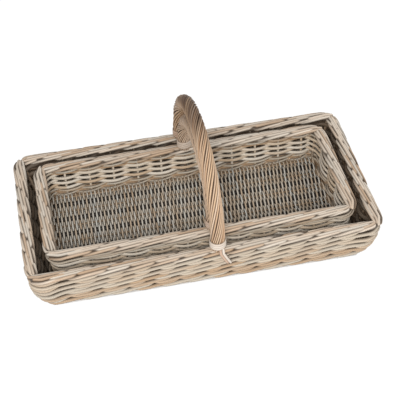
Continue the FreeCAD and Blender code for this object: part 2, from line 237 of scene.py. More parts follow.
# Collars
CANE_RECESS = (0.0, 0.5 * MM)
CANE_DEPTH = 1.0  # well out of the painted shade
COLLAR_TURNS = 4
COLLAR_END = 1.0  # radians that the strip goes on for after its last whole turn
COLLAR_STRIP = 1.5 * MM
COLLAR_LAP = 1.12  # width of the strip, in rises of one turn
COLLAR_TILT = 0.12  # upward slope of its face
COLLAR_STEPS = 40  # points to a turn
TAIL_THICK = 3.2 * MM
TAIL_WIDTH = 4.8 * MM
TAIL_LAP = 1.05  # width of one half of the split end, in half ends
TAIL_SHIFT = 0.4  # how far the end lies to one side of the foot, in half ends
TAIL_LEAN = 12 * MM  # how far the end slants while it hangs
TAIL_STEPS = 9
TAIL_ROOT = 8 * MM  # from the middle of the foot out to the start of the end
TAIL_BEND = 5 * MM  # from the end's outside in to its bend over the border
TAIL_HANG = 2 * MM  # and in to the middle of what hangs
TAIL_BOW = 0.8 * MM  # how far that stands out in the middle
TAIL_HEIGHTS = (6 * MM, 4 * MM, -2 * MM)  # of root, bend and hang, from the top of the solid end
TAIL_FACE = (1.6, 1.0)  # upward slope of the face at root and bend
TAIL_TINTS = (0.15, 0.85)

# Colours, in 8-bit screen values
# Each stain is also the colour of the painted shade in the recesses and on the flanks.
DARK_STAIN_AND_SHADE = (58, 44, 32)
BASE_STAIN_AND_SHADE = (46, 36, 28)
BARK_STAIN_AND_SHADE = (20, 15, 12)
HANDLE_STAIN_AND_SHADE = (54, 28, 14)
CANE_STAIN_AND_SHADE = (120, 100, 84)
WALL_TONES = [(200, 168, 134), (208, 182, 154), (214, 194, 170), (220, 206, 186), (210, 198, 180)]
SIDE_TONES = [(218, 192, 162), (230, 212, 188), (238, 224, 204), (234, 222, 204)]
BORDER_TONES = [(202, 172, 142), (214, 190, 166), (224, 206, 186), (234, 218, 200), (218, 206, 190)]
BASE_TONES = [(192, 168, 140), (204, 184, 160), (210, 196, 176), (214, 208, 198)]
# The first tone, for the stout sticks, is dark bark deepened as painted shade; the second is the thin
# sticks' own.
BARK_AND_SHADE_TONES = [(34, 26, 20), (150, 126, 100)]
HANDLE_TONES = [(212, 168, 128), (230, 196, 160), (240, 214, 188), (222, 182, 144)]
CANE_TONES = [(200, 164, 140), (218, 200, 182), (224, 210, 196)]

# Willow. Scales are to a metre along a rod and to its radius across.
# A gain and an offset turn noise into a share.
STREAK_SCALE = (14, 3.2, 3.2)
STREAK_DETAIL = 4.0
STREAK_GAIN, STREAK_OFFSET = 1.6, -0.3
STREAK_STAIN = 0.42
STREAK_HEIGHT = 0.4 * MM
STREAK_RELIEF = 0.35
PATCH_SCALE = (16, 0.5, 0.5)
PATCH_DETAIL = 2.0
PATCH_GAIN, PATCH_OFFSET = 2.2, -2.2
PATCH_GREY = 0.7
# share of the stain colour where the painted shade is deepest, and where the crown is stained
SHADE_AND_STAIN_SHARE = 0.9
ROUGH_GAIN, ROUGH_OFFSET = -0.25, 0.72
SHEEN = 0.35


# Rods as meshes

def unit(vectors):
    return vectors / np.linalg.norm(vectors, axis=-1, keepdims=True)


def distances(line):
    """Distance along a line from its start to each of its points."""
    return np.r_[0.0, np.cumsum(np.linalg.norm(np.diff(line, axis=0), axis=1))]


def smooth_step(x):
    x = np.clip(x, 0.0, 1.0)
    return x * x * (3 - 2 * x)


class Rods:
    """Gathers rods as tubes, then makes one mesh of them.
    recess is the depth from the middle of the weave where the painted shade in the recesses ends, and
    where the willow's own colour begins.
    tones is the part of the material's tones that the rods take.
    inner is how far they are spared painted shade on the inside, and flank how far on the flanks."""

    def __init__(self, seed, recess, sides=8, tones=(0.0, 1.0), inner=1.0, flank=0.25):
        self.rng = np.random.default_rng(seed)
        self.tones = tones
        self.inner, self.flank = inner, flank
        self.recess = recess
        self.sides = sides
        self.points, self.faces = [], []
        self.rod, self.grain, self.proud = [], [], []
        self.count = 0

    def wobble(self, along, size, length):
        """A slow wander along a rod, the sum of two waves."""
        first, second = self.rng.uniform(0, TURN, 2)
        turn = TURN * along / length
        quick = (1 - SLOW_WAVE) * np.sin(QUICK_WAVE * turn + second)
        return size * (SLOW_WAVE * np.sin(turn + first) + quick)

    def add(self, path, face, thick, wide, depth, tint=None, clean_and_lit=1.0):
        """A tube along a path. Its thickness lies in the direction of face at each point.
        depth is how far the middle of the rod lies from the middle of the weave, along face.
        The last argument says how free of stain and of painted shade the rod is at each point."""
        path = np.asarray(path, float)
        count = len(path)
        face = np.broadcast_to(np.asarray(face, float), path.shape)
        thick, wide, depth, clean_and_lit = (np.broadcast_to(np.asarray(v, float), count)
                                    for v in (thick, wide, depth, clean_and_lit))
        tangent = unit(np.gradient(path, axis=0))
        face = unit(face - tangent * (face * tangent).sum(1, keepdims=True))
        across = np.cross(tangent, face)
        bulge = END_BULGE * (thick + wide)[[0, -1], None] * tangent[[0, -1]]
        path = np.concatenate([path[:1] - bulge[:1], path, path[-1:] + bulge[1:]])
        ends = np.r_[0, np.arange(count), count - 1]
        shrink = np.r_[END_SIZE, np.ones(count), END_SIZE]
        angle = np.arange(self.sides) * TURN / self.sides
        out = (shrink * thick[ends] / 2)[:, None] * np.cos(angle)
        over = (shrink * wide[ends] / 2)[:, None] * np.sin(angle)
        points = path[:, None] + face[ends][:, None] * out[..., None]
        points = points + across[ends][:, None] * over[..., None]
        self.points.append(points.reshape(-1, 3))
        self.proud.append(self.proudness(depth[ends][:, None] + out, angle, clean_and_lit[ends][:, None]).ravel())
        along = distances(path)
        grain = np.empty(points.shape)
        grain[..., 0] = (along + self.rng.uniform(0, GRAIN_RUN))[:, None]
        grain[..., 1], grain[..., 2] = np.cos(angle), np.sin(angle)
        self.grain.append(grain.reshape(-1, 3))
        if tint is None:
            tint = np.r_[self.rng.uniform(*self.tones), self.rng.random(2)]
        self.rod.append(np.tile(tint, (len(points) * self.sides, 1)))
        self.add_faces(len(points))

    def proudness(self, level, angle, clean_and_lit):
        """How free of painted shade a rod is, from 0 deep in the recesses, on its inward side and on its
        flanks to 1 on the crests, and less where it is stained.
        """
        low, high = self.recess
        facing = (1 + np.cos(angle)) / 2
        # Painted shade: the deeper in the weave, and the further round to the inward side, the darker.
        proud = facing * smooth_step((level - low) / (high - low))
        proud += (1 - facing) * smooth_step((-level - low) / (high - low)) * self.inner
        # Painted shade on the flanks, lifting towards the face and the back.
        rounding = smooth_step((np.abs(np.cos(angle)) - FLANK_EDGE) / FLANK_FADE)
        return proud * (clean_and_lit * (self.flank + (1 - self.flank) * rounding))

    def add_faces(self, rings):
        spots = np.arange(self.sides)
        starts = self.count + np.arange(rings - 1)[:, None] * self.sides
        here = starts + spots
        beside = starts + (spots + 1) % self.sides
        quads = np.stack([here, beside, beside + self.sides, here + self.sides], axis=-1)
        self.faces += quads.reshape(-1, 4).tolist()
        self.faces.append(list(range(self.count + self.sides - 1, self.count - 1, -1)))
        last = self.count + (rings - 1) * self.sides
        self.faces.append(list(range(last, last + self.sides)))
        self.count += rings * self.sides

    def mesh(self, name):
        mesh = bpy.data.meshes.new(name)
        mesh.from_pydata(np.concatenate(self.points), [], self.faces)
        for attribute, values in (("rod", self.rod), ("grain", self.grain)):
            made = mesh.attributes.new(attribute, "FLOAT_VECTOR", "POINT")
            made.data.foreach_set("vector", np.concatenate(values).astype(np.float32).ravel())
        made = mesh.attributes.new("proud", "FLOAT", "POINT")
        made.data.foreach_set("value", np.concatenate(self.proud).astype(np.float32))
        mesh.shade_smooth()
        return mesh


# Where the walls run

class Ring:
    """The line of the stakes at one height, a rectangle with chamfered and eased corners.
    It is measured from the middle of the front, towards +X."""

    def __init__(self, half_x, half_y, cut=CORNER_CUT):
        knee_x, knee_y = half_x - cut, half_y - cut
        corners = np.array([(0, -half_y), (knee_x, -half_y), (half_x, -knee_y), (half_x, knee_y),
                            (knee_x, half_y), (-knee_x, half_y), (-half_x, knee_y),
                            (-half_x, -knee_y), (-knee_x, -half_y), (0, -half_y)])
        reach = distances(corners)
        self.length = reach[-1]
        self.count = int(self.length / RING_STEP)
        even = np.arange(self.count) * self.length / self.count
        points = np.stack([np.interp(even, reach, corners[:, i]) for i in (0, 1)], axis=1)
        shifts = range(-RING_EASE, RING_EASE + 1)
        self.points = sum(np.roll(points, k, axis=0) for k in shifts) / len(shifts)
        heading = unit(np.roll(self.points, -1, axis=0) - np.roll(self.points, 1, axis=0))
        self.normals = np.stack([heading[:, 1], -heading[:, 0]], axis=1)
        self.knees = (knee_x, knee_y)
        self.middles = [0.0] + [(reach[i] + reach[i + 1]) / 2 for i in (2, 4, 6)]

    def at(self, along):
        """Points on the ring, and the outward directions there."""
        place = np.asarray(along) / self.length * self.count
        low = np.floor(place).astype(int)
        share = (place - low)[:, None]
        low, high = low % self.count, (low + 1) % self.count
        points = self.points[low] * (1 - share) + self.points[high] * share
        normals = self.normals[low] * (1 - share) + self.normals[high] * share
        return points, normals

    def straight_from(self, start, along):
        """As at, but straight on before start, past the corner there."""
        points, normals = self.at(np.maximum(along, start))
        heading = np.column_stack([-normals[:, 1], normals[:, 0]])
        return points + heading * np.minimum(along - start, 0)[:, None], normals

    def whole(self, step):
        """Places all the way round, about one step apart."""
        return np.linspace(0, self.length, int(self.length / step))

    def path(self, along, offset, z):
        """Points beside the ring, and the outward directions, in space."""
        points, normals = self.at(along)
        z = np.broadcast_to(z, len(points))
        path = np.column_stack([points + normals * np.asarray(offset).reshape(-1, 1), z])
        return path, np.column_stack([normals, np.zeros(len(points))])


class Trug:
    """Sizes of one trug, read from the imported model."""

    def __init__(self, style):
        name = style.name
        self.style, self.name, self.body, self.seed = style, name, name + "_trug", style.seed
        foot_low, foot_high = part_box(name + "_foot_ring")
        top_low, top_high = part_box(name + "_border_top")
        self.foot_rod = foot_high.z - foot_low.z
        self.top_rod = top_high.z - top_low.z
        self.ground, self.rim = foot_low.z, top_high.z
        self.foot_line = self.ring_sizes(foot_low, foot_high)
        self.top_line = self.ring_sizes(top_low, top_high)
        border_low, border_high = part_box(name + "_border_outer")
        border_z = (border_low.z + border_high.z) / 2
        self.border_bottom = border_low.z
        self.border_reach = border_high.y - self.halves(border_z)[1]
        self.wall_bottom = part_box(name + "_upsett")[0].z
        base_low, base_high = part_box(name + "_base_weave")
        self.base_reach = base_high
        self.base_middle = (base_low.z + base_high.z) / 2
        self.stick_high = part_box(name + "_base_sticks")[1]
        strand_low, strand_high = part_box(name + "_handle_strands")
        self.front_foot, self.back_foot = (self.hoop_foot_at(side) for side in ("front", "back"))
        self.hoop_foot = strand_low.z
        self.handle = 2 * (strand_high.y - self.back_foot[1])
        self.hoop_crown = strand_high.z - self.handle / 2

    def hoop_foot_at(self, side):
        """Where a foot of the hoop stands, in plan: the middle of its collar."""
        low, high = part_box(self.name + "_" + side + "_collar")
        return np.array([(low.x + high.x) / 2, (low.y + high.y) / 2])

    @staticmethod
    def ring_sizes(low, high):
        """Height and half sizes of the middle line of a ring of rods on the line of the stakes."""
        rod = high.z - low.z
        return np.array([(low.z + high.z) / 2, high.x - rod / 2, high.y - rod / 2])

    def halves(self, z):
        """Half length and half width of the line of the stakes at a height."""
        share = (z - self.foot_line[0]) / (self.top_line[0] - self.foot_line[0])
        return (self.foot_line + (self.top_line - self.foot_line) * share)[1:]

    def ring(self, z, cut=CORNER_CUT):
        return Ring(*self.halves(z), cut)

    def stake_places(self, half, middle):
        each_way = int((half - CORNER_CUT - abs(middle)) / STAKE_PITCH - STAKE_MARGIN)
        return middle + STAKE_PITCH * np.arange(-each_way, each_way + 1)

    def sides(self):
        """Stakes of the front, right, back and left, measured from the middle of each."""
        half_x, half_y = self.halves(self.ground)
        end = self.stake_places(half_y, 0.0)
        front = self.stake_places(half_x, self.front_foot[0])
        back = self.stake_places(half_x, -self.back_foot[0])
        return front, end, back, end

    def stations(self, ring):
        """Places along a ring of all stakes and corner posts, in order."""
        found = []
        for i, places in enumerate(self.sides()):
            found += list(ring.middles[i] + places)
            found.append(self.corner(ring, i))
        return np.array(found)

    @staticmethod
    def corner(ring, i):
        """Place along a ring of the corner post that ends a side."""
        return ring.middles[i] + ring.knees[i % 2] + CORNER_CUT / math.sqrt(2)

    def swell(self, ring, along, z):
        """How far the waling stands out at the corners, most at half the height of the wall."""
        corners = np.array([self.corner(ring, i) for i in range(4)])
        away = (along[:, None] - corners + ring.length / 2) % ring.length - ring.length / 2
        near = np.exp(-(np.abs(away).min(axis=1) / SWELL_WIDTH) ** 2)
        share = (z - self.wall_bottom) / (self.border_bottom - self.wall_bottom)
        return CORNER_SWELL * near * np.clip(4 * share * (1 - share), 0, 1)

    def node(self, *parts):
        return [self.name + "_" + part for part in parts]


def around(stations, ring, first, last):
    """Even steps along a ring between two stations, and the count of stations there.
    Both go on counting past the start of the ring."""
    turns = last // len(stations) + 1
    marks = np.concatenate([stations + ring.length * turn for turn in range(turns + 1)])
    steps = int((marks[last] - marks[first]) / STAKE_PITCH * STAKE_STEPS)
    along = np.linspace(marks[first] + CUT_GAP, marks[last] - CUT_GAP, steps)
    return along, np.interp(along, marks, np.arange(len(marks)))


def rod_spans(rng, start, count, step, least, most):
    """Cuts a round of stations into rods, each some multiple of step stations long."""
    spans, here = [], start
    while here < start + count:
        there = here + step * rng.integers(least, most + 1)
        if there > start + count - step * least / 2:
            there = start + count
        spans.append((here, there))
        here = there
    return spans


# Pieces of a trug

def randed_wall(trug, bottom, top):
    """Rods in front of one stake and behind the next, each row opposite to the one below."""
    rods = Rods(trug.seed + 1, WEAVER_RECESS, flank=WEAVER_FLANK)
    rows = round((top - bottom) / ROW_PITCH)
    pitch = (top - bottom) / rows
    swing = (STAKE + WEAVER) / 2 + AIR
    for row in range(rows):
        z = bottom + pitch * (row + 0.5)
        ring = trug.ring(z)
        stations = trug.stations(ring)
        start = row % 2 + 2 * rods.rng.integers(0, len(stations) // 2)
        for first, last in rod_spans(rods.rng, start, len(stations), 2, *WEAVER_SPAN):
            along, count = around(stations, ring, first, last)
            offset = -swing * np.cos(math.pi * (count - row))
            rise = z + rods.wobble(along, *WEAVER_WANDER)
            path, normal = ring.path(along, offset, rise)
            size = rods.rng.uniform(*WEAVER_RANGE) * (1 + rods.wobble(along, *WEAVER_SWELLING))
            rods.add(path, normal, WEAVER * size, WEAVER_HEIGHT * size, offset)
    return rods


def add_wale_row(rods, trug, z):
    """One round of three-rod waling: each rod passes outside two stakes, then inside one."""
    thick = trug.style.wale
    ring = trug.ring(z)
    stations = trug.stations(ring)
    swing = (STAKE + thick) / 2 + AIR
    lag = rods.rng.uniform(-WALE_LAG, WALE_LAG)
    for third in range(3):
        start = 3 * rods.rng.integers(0, len(stations) // 3) + 2 - third
        for first, last in rod_spans(rods.rng, start, len(stations), 3, *WALE_SPAN):
            along, count = around(stations, ring, first, last)
            beat = (count + third + lag) % 3
            inside = smooth_step((beat - WALE_IN) / WALE_TURN)
            inside = inside - smooth_step((beat - WALE_OUT) / WALE_TURN)
            offset = swing * (1 - 2 * inside)
            climb = WALE_RISE * thick * np.interp(beat, WALE_BEATS, WALE_CLIMB)
            rise = z + climb + rods.wobble(along, *WALE_WANDER)
            path, normal = ring.path(along, offset + trug.swell(ring, along, rise), rise)
            size = rods.rng.uniform(*WALE_RANGE)
            rods.add(path, normal, thick * size, thick * size * WALE_TALL, offset)


def add_filler(rods, trug, z):
    """A thin rod laid in between the stakes, dark with painted shade behind the waling."""
    ring = trug.ring(z)
    along = ring.whole(LAID_STEP)
    path, normal = ring.path(along, trug.swell(ring, along, z), z)
    rods.add(path, normal, *FILLER, LAID_DEPTH, SHADE_ROD_TINT)


def waling(trug, seed, bottom, top, tones):
    """Rounds of waling that fill a wall from bottom to top."""
    style = trug.style
    rods = Rods(seed, style.wale_recess, tones=tones, inner=style.inner_unshaded, flank=WALE_FLANK)
    rows = round((top - bottom) / (WALE_ROW * style.wale))
    pitch = (top - bottom) / rows
    for row in range(rows):
        add_wale_row(rods, trug, bottom + pitch * (row + 0.5))
        for level in (0.0, 0.5):
            add_filler(rods, trug, bottom + pitch * (row + level))
    return rods


def add_edge_rods(rods, trug):
    """Two rods laid round the edge of the base, which close it against the wall, dark with painted shade.
    """
    z = trug.wall_bottom + EDGE_RISE
    ring = trug.ring(z)
    along = ring.whole(LAID_STEP)
    for inset in EDGE_INSETS:
        path, normal = ring.path(along, -inset, z)
        rods.add(path, normal, *EDGE_ROD, LAID_DEPTH, SHADE_ROD_TINT)


def border_arc(trug):
    """Section of the border's strokes: places on an ellipse, spread from outside over the top."""
    wide = trug.border_reach - BORDER_ROD / 2
    tall = (trug.rim - trug.border_bottom - BORDER_ROD) / 2
    turn = np.linspace(-BORDER_SWEEP, BORDER_SWEEP, ARC_STEPS)
    reach = distances(np.column_stack([wide * np.sin(turn), tall * np.cos(turn)]))
    return wide, tall, turn, reach / reach[-1]


def add_border_core(rods, ring, middle, tall):
    """The bent-down ends of the stakes inside the border, dark with painted shade between the strokes."""
    along = ring.whole(CORE_STEP)
    for side in (-1, 0, 1):
        path, normal = ring.path(along, side * CORE_ROD, middle - abs(side) * CORE_DROP)
        rods.add(path, normal, CORE_ROD, tall * CORE_TALL, 0.0)


def add_stroke(rods, rings, section, middle, start, along, place, radius):
    """One stroke of the border. place runs from 0 outside over the top to 1 inside, along the section,
    and radius is 1 on the section and less inside it.
    Before start, at the beginning of a side, the stroke runs straight on into the corner."""
    wide, tall, turns, reach = section
    scales = [ring.length / rings[0].length for ring in rings]
    outer, inner = (r.straight_from(start * s, along * s) for r, s in zip(rings, scales))
    share = smooth_step((place - CROSSING[0]) / CROSSING[1])[:, None]
    points = outer[0] * (1 - share) + inner[0] * share
    normals = unit(outer[1] * (1 - share) + inner[1] * share)
    turn = np.interp(place, reach, turns)
    out, up = -np.sin(turn), np.cos(turn)
    rise = middle + tall * radius * up
    path = np.column_stack([points + normals * (wide * radius * out)[:, None], rise])
    face = np.column_stack([normals * (out / wide)[:, None], up / tall])
    size = BORDER_ROD * rods.rng.uniform(*STROKE_RANGE) * (1 - STROKE_TAPER + STROKE_TAPER * radius)
    width = size * (1 - STROKE_NARROWING + STROKE_NARROWING * radius)
    rods.add(path, face, size * STROKE_FLAT, width, STROKE_DEPTH * radius - STROKE_SINK)


def add_border_side(rods, rings, section, middle, first, last):
    """Strokes along one side, from corner to corner. They come up from among the others, run a little way
    and dive in again. At the first corner some begin on top with their tips showing."""
    share = np.linspace(0, 1, STROKE_STEPS)
    rise, dive = smooth_step(share / STROKE_BEND), smooth_step((1 - share) / STROKE_BEND)
    raised = STROKE_DEEP + (1 - STROKE_DEEP) * rise * dive
    bend = first + CORNER_RUN
    count = round((last - first) / STAKE_PITCH)
    for lane in range(BORDER_LANES):
        for k in range(count):
            even = first + (last - first) * (k + BORDER_STAGGER * lane % 1) / count
            start = even + rods.rng.normal(0, STROKE_SHIFT)
            length = min(BORDER_STROKE * rods.rng.uniform(*STROKE_LENGTHS), last - CORNER_END - start)
            if length > BORDER_STROKE / 3:
                along = start + length * share
                lanes = lane + 0.5 + STROKE_LANES * (share - 0.5) + rods.rng.normal(0, STROKE_DRIFT)
                radius = raised * (1 + rods.wobble(along, *STROKE_WANDER))
                add_stroke(rods, rings, section, middle, bend, along, lanes / BORDER_LANES, radius)
        start = first + rods.rng.uniform(*TIP_START)
        along = start + BORDER_STROKE * rods.rng.uniform(*TIP_LENGTHS) * share
        lanes = lane + 1 - TIP_LANES * (1 - share)
        radius = STROKE_DEEP + TIP_RISE * dive
        add_stroke(rods, rings, section, middle, bend, along, lanes / BORDER_LANES, radius)


def border(trug):
    """The rolled border, a new set of strokes along each side."""
    rods = Rods(trug.seed + 4, BORDER_RECESS, flank=BORDER_FLANK)
    section = border_arc(trug)
    middle = (trug.rim + trug.border_bottom) / 2
    rings = trug.ring(middle), trug.ring(middle, INNER_CUT)
    add_border_core(rods, rings[0], middle, section[1])
    corners = [trug.corner(rings[0], i) for i in range(4)]
    for first, last in zip(corners, [*corners[1:], corners[0] + rings[0].length]):
        add_border_side(rods, rings, section, middle, first, last)
    return rods


def side_stakes(trug):
    """Upright stakes in the walls, apart from the two whose place the tangs of the bow take."""
    rods = Rods(trug.seed + 5, trug.style.stake_recess)
    z = np.linspace(trug.wall_bottom, trug.rim - trug.top_rod, UPRIGHT_STEPS)
    heading = [(1, 0), (0, 1), (-1, 0), (0, -1)]
    for i, places in enumerate(trug.sides()):
        run = np.array(heading[i])
        outward = np.array([run[1], -run[0]])
        out = np.array([trug.halves(h)[1 - i % 2] for h in z])
        for place in places:
            if i % 2 == 0 and place == np.median(places):
                continue
            path = np.column_stack([run * place + outward * out[:, None], z])
            rods.add(path, [*outward, 0], STAKE, STAKE, 0.0)
    return rods


def corner_posts(trug):
    rods = Rods(trug.seed + 6, POST_RECESS)
    z = np.linspace(trug.wall_bottom, trug.rim - trug.top_rod, UPRIGHT_STEPS)
    halves = np.array([trug.halves(h) for h in z]) - CORNER_CUT / 2
    for x, y in ((1, -1), (1, 1), (-1, 1), (-1, -1)):
        path = np.column_stack([halves * (x, y), z])
        rods.add(path, [x, y, 0], POST, POST, 0.0)
    return rods


def foot_ring(trug):
    """Three rods laid up like a rope, on which the trug stands."""
    rods = Rods(trug.seed + 7, FOOT_RECESS)
    z = trug.ground + trug.foot_rod / 2
    ring = trug.ring(z)
    along = ring.whole(FOOT_STEP)
    thick = trug.foot_rod * FOOT_STRAND
    radius = (trug.foot_rod - thick) / 2
    turns = round(ring.length / FOOT_LAY)
    points, normals = ring.at(along)
    for third in range(3):
        turn = TURN * (turns * along / ring.length + third / 3)
        out, up = -np.sin(turn), np.cos(turn)
        path = np.column_stack([points + normals * (radius * out)[:, None], z + radius * up])
        rods.add(path, np.column_stack([normals * out[:, None], up]), thick, thick, radius)
    return rods


def stick_rows(trug):
    """Places of the stout sticks of the base, and of the thin ones between and beside them."""
    edge = trug.stick_high.y - STICK / 2
    count = round(2 * edge / STICK_PITCH) + 1
    stout = np.linspace(-edge, edge, count)
    pitch = stout[1] - stout[0]
    thin = np.r_[stout - pitch / 2, stout[-1] + pitch / 2]
    return stout, thin[np.abs(thin) < trug.base_reach.y - THIN_STICK]


def corner_room(trug, away):
    """How far the base reaches along one side, past the chamfered corners, at a place along the other."""
    half_x, half_y = trug.halves(trug.base_middle)
    return half_x + half_y - CORNER_CUT - BASE_INSET - np.abs(away)


def base_sticks(trug):
    """Stout flattened sticks in dark bark, made near black as painted shade in the slots between the fine
    rods, and thin paler ones between them.
    """
    rods = Rods(trug.seed + 8, STICK_RECESS)
    stout, thin = stick_rows(trug)
    # The stout sticks take the first tone, near black as painted shade in the slots.
    kinds = ((stout, STICK, STICK_WIDTH, 0.0), (thin, THIN_STICK, THIN_STICK, 1.0))
    for places, thick, wide, tint in kinds:
        for y in places:
            end = min(trug.stick_high.x, corner_room(trug, y))
            x = np.linspace(-end, end, STICK_STEPS)
            path = np.column_stack([x, np.full(STICK_STEPS, y), np.full(STICK_STEPS, trug.base_middle)])
            rods.add(path, [0, 0, 1], thick * STICK_FLAT, wide, 0.0, (tint, 0.5, 0.5))
    return rods


def weaver_rise(y, stout):
    """Height of a fine rod that goes over the stout sticks and under the thin ones."""
    over = (STICK * STICK_FLAT + FINE_ROD) / 2
    under = (THIN_STICK + FINE_ROD) / 2
    away = np.abs(y[:, None] - stout).min(axis=1)
    return over - (over + under) * smooth_step((away - STICK_WIDTH * STICK_CREST) / STICK_ROOM)


def woven_base(trug):
    """Fine rods from front to back, over the stout sticks and under the thin ones, or the other way."""
    # How far the top of the base is spared painted shade.
    clean_and_lit = trug.style.floor_unshaded
    rods = Rods(trug.seed + 9, FINE_RECESS, FINE_SIDES, inner=clean_and_lit, flank=FINE_FLANK)
    stout, _ = stick_rows(trug)
    count = int(2 * trug.base_reach.x / FINE_PITCH)
    for i, x in enumerate(np.linspace(-1, 1, count) * (trug.base_reach.x + FINE_ROD / 2)):
        end = min(trug.base_reach.y + BASE_TUCK, corner_room(trug, x))
        y = np.linspace(-end, end, int(2 * end / FINE_STEP))
        rise = weaver_rise(y, stout) * (1 if i % 2 == 0 else -1)
        path = np.column_stack([x + rods.wobble(y, *FINE_WANDER), y, trug.base_middle + rise])
        size = FINE_ROD * rods.rng.uniform(*FINE_RANGE)
        rods.add(path, [0, 0, -1], size, size * FINE_FLAT, -rise)
    return rods


# Handle

def hoop_line(trug, steps):
    """Middle line of the hoop with even steps, and the share of its length at each."""
    shoulder = trug.rim + LEG
    turn = np.linspace(0, math.pi, ARC_STEPS)
    middle = (trug.front_foot + trug.back_foot) / 2
    half = (trug.back_foot - trug.front_foot) / 2
    out = np.r_[-1.0, -np.cos(turn), 1.0]
    arch = shoulder + (trug.hoop_crown - shoulder) * np.sin(turn)
    z = np.r_[trug.hoop_foot, arch, trug.hoop_foot]
    line = np.column_stack([middle + out[:, None] * half, z])
    length = distances(line)
    share = np.linspace(0, 1, steps)
    return np.column_stack([np.interp(share, length / length[-1], v) for v in line.T]), share


def handle_strands(trug):
    """Rods roped around the bow, rising to the right as seen from the front, dark over the crown."""
    recess = [trug.handle / 2 + depth for depth in STRAND_RECESS]
    rods = Rods(trug.seed + 10, recess, tones=trug.style.strand_tones, flank=STRAND_FLANK)
    line, share = hoop_line(trug, HOOP_STEPS)
    tangent = unit(np.gradient(line, axis=0))
    across = trug.back_foot - trug.front_foot
    sideways = np.broadcast_to(unit(np.array([across[1], -across[0], 0.0])), line.shape)
    inward = np.cross(tangent, sideways)
    lay = share - TWIST_SPREAD * np.sin(TURN * share) / TURN
    crown = trug.style.crown_stain * smooth_step(CROWN_LEVEL - np.abs(share - CROWN_PLACE) / CROWN_FADE)
    radius = (trug.handle - STRAND) / 2
    widths = rods.rng.uniform(*STRAND_RANGE, STRANDS)
    widths = widths / widths.sum()
    ends = np.cumsum(widths)
    for i in range(STRANDS):
        turn = TURN * (ends[i] - widths[i] / 2 - HANDLE_TURNS * lay)
        turn = turn + rods.wobble(share, *STRAND_SWAY)
        face = inward * np.cos(turn)[:, None] + sideways * np.sin(turn)[:, None]
        depth = radius * (1 + rods.wobble(share, *STRAND_SWING)) - rods.rng.uniform(0, STRAND_SINK)
        wide = TURN * radius * widths[i] * STRAND_FILL
        outer = smooth_step((CROWN_SIDE - np.cos(turn)) / (2 * CROWN_SIDE))
        worn = 1 - crown * (CROWN_INNER + rods.rng.uniform(*CROWN_OUTER) * outer)
        rods.add(line + face * depth[:, None], face, STRAND, wide, depth, clean_and_lit=worn)
    return rods


def handle_bow(trug):
    """The bent rod inside the handle, with its ends pushed down into the long walls."""
    # The bow lies in painted shade, dark in the gaps between the strands.
    rods = Rods(trug.seed + 11, (0.0, BOW))
    line, _ = hoop_line(trug, BOW_STEPS)
    rods.add(line, [1, 0, 0], BOW, BOW, 0.0)
    bow_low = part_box(trug.name + "_handle_bow")[0]
    z = np.linspace(bow_low.z, trug.hoop_foot, TANG_STEPS)
    out = np.array([trug.halves(h)[1] for h in z])
    for side, foot in ((-1, trug.front_foot), (1, trug.back_foot)):
        path = np.column_stack([np.full(TANG_STEPS, foot[0]), side * out, z])
        rods.add(path, [0, side, 0], STAKE, STAKE, 0.0)
    return rods


def collar(node, seed):
    """A flat strip wound round the foot of the handle."""
    rods = Rods(seed, CANE_RECESS)
    low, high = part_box(node)
    middle = (low + high) / 2
    radius = (high.x - low.x) / 2 - COLLAR_STRIP
    wide = (high.z - low.z) / COLLAR_TURNS * COLLAR_LAP
    turn = np.linspace(0, TURN * (COLLAR_TURNS - 1) + COLLAR_END, COLLAR_STEPS * COLLAR_TURNS)
    rise = np.linspace(low.z + wide / 2, high.z - wide / 2, len(turn))
    face = np.column_stack([np.cos(turn), np.sin(turn), np.full(len(turn), COLLAR_TILT)])
    path = np.column_stack([middle.x + radius * face[:, 0], middle.y + radius * face[:, 1], rise])
    rods.add(path, face, COLLAR_STRIP, wide, CANE_DEPTH)
    return rods


def collar_tails(trug):
    """The loose end of each collar's strip, a split rod that comes over the border and slants down it."""
    rods = Rods(trug.seed + 14, CANE_RECESS)
    low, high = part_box(trug.name + "_collar_tails")
    share = np.linspace(0, 1, TAIL_STEPS)
    root_z, bend_z, hang_z = (high.z + height for height in TAIL_HEIGHTS)
    z = np.r_[root_z, bend_z, hang_z + (low.z - hang_z) * share]
    hang_y = high.y - TAIL_HANG + TAIL_BOW * np.sin(math.pi * share)
    tilt = np.r_[TAIL_FACE, np.zeros(TAIL_STEPS)]
    for side, foot in ((-1, trug.front_foot), (1, trug.back_foot)):
        y = np.r_[abs(foot[1]) + TAIL_ROOT, high.y - TAIL_BEND, hang_y]
        face = np.column_stack([np.zeros(len(z)), np.full(len(z), side), tilt])
        for half, tint in enumerate(TAIL_TINTS):
            start = foot[0] - side * (half + TAIL_SHIFT) * TAIL_WIDTH
            x = np.r_[start, start, start - side * TAIL_LEAN * share]
            path = np.column_stack([x, side * y, z])
            rods.add(path, face, TAIL_THICK, TAIL_WIDTH * TAIL_LAP, CANE_DEPTH, (tint, tint, tint))
    return rods


# Materials

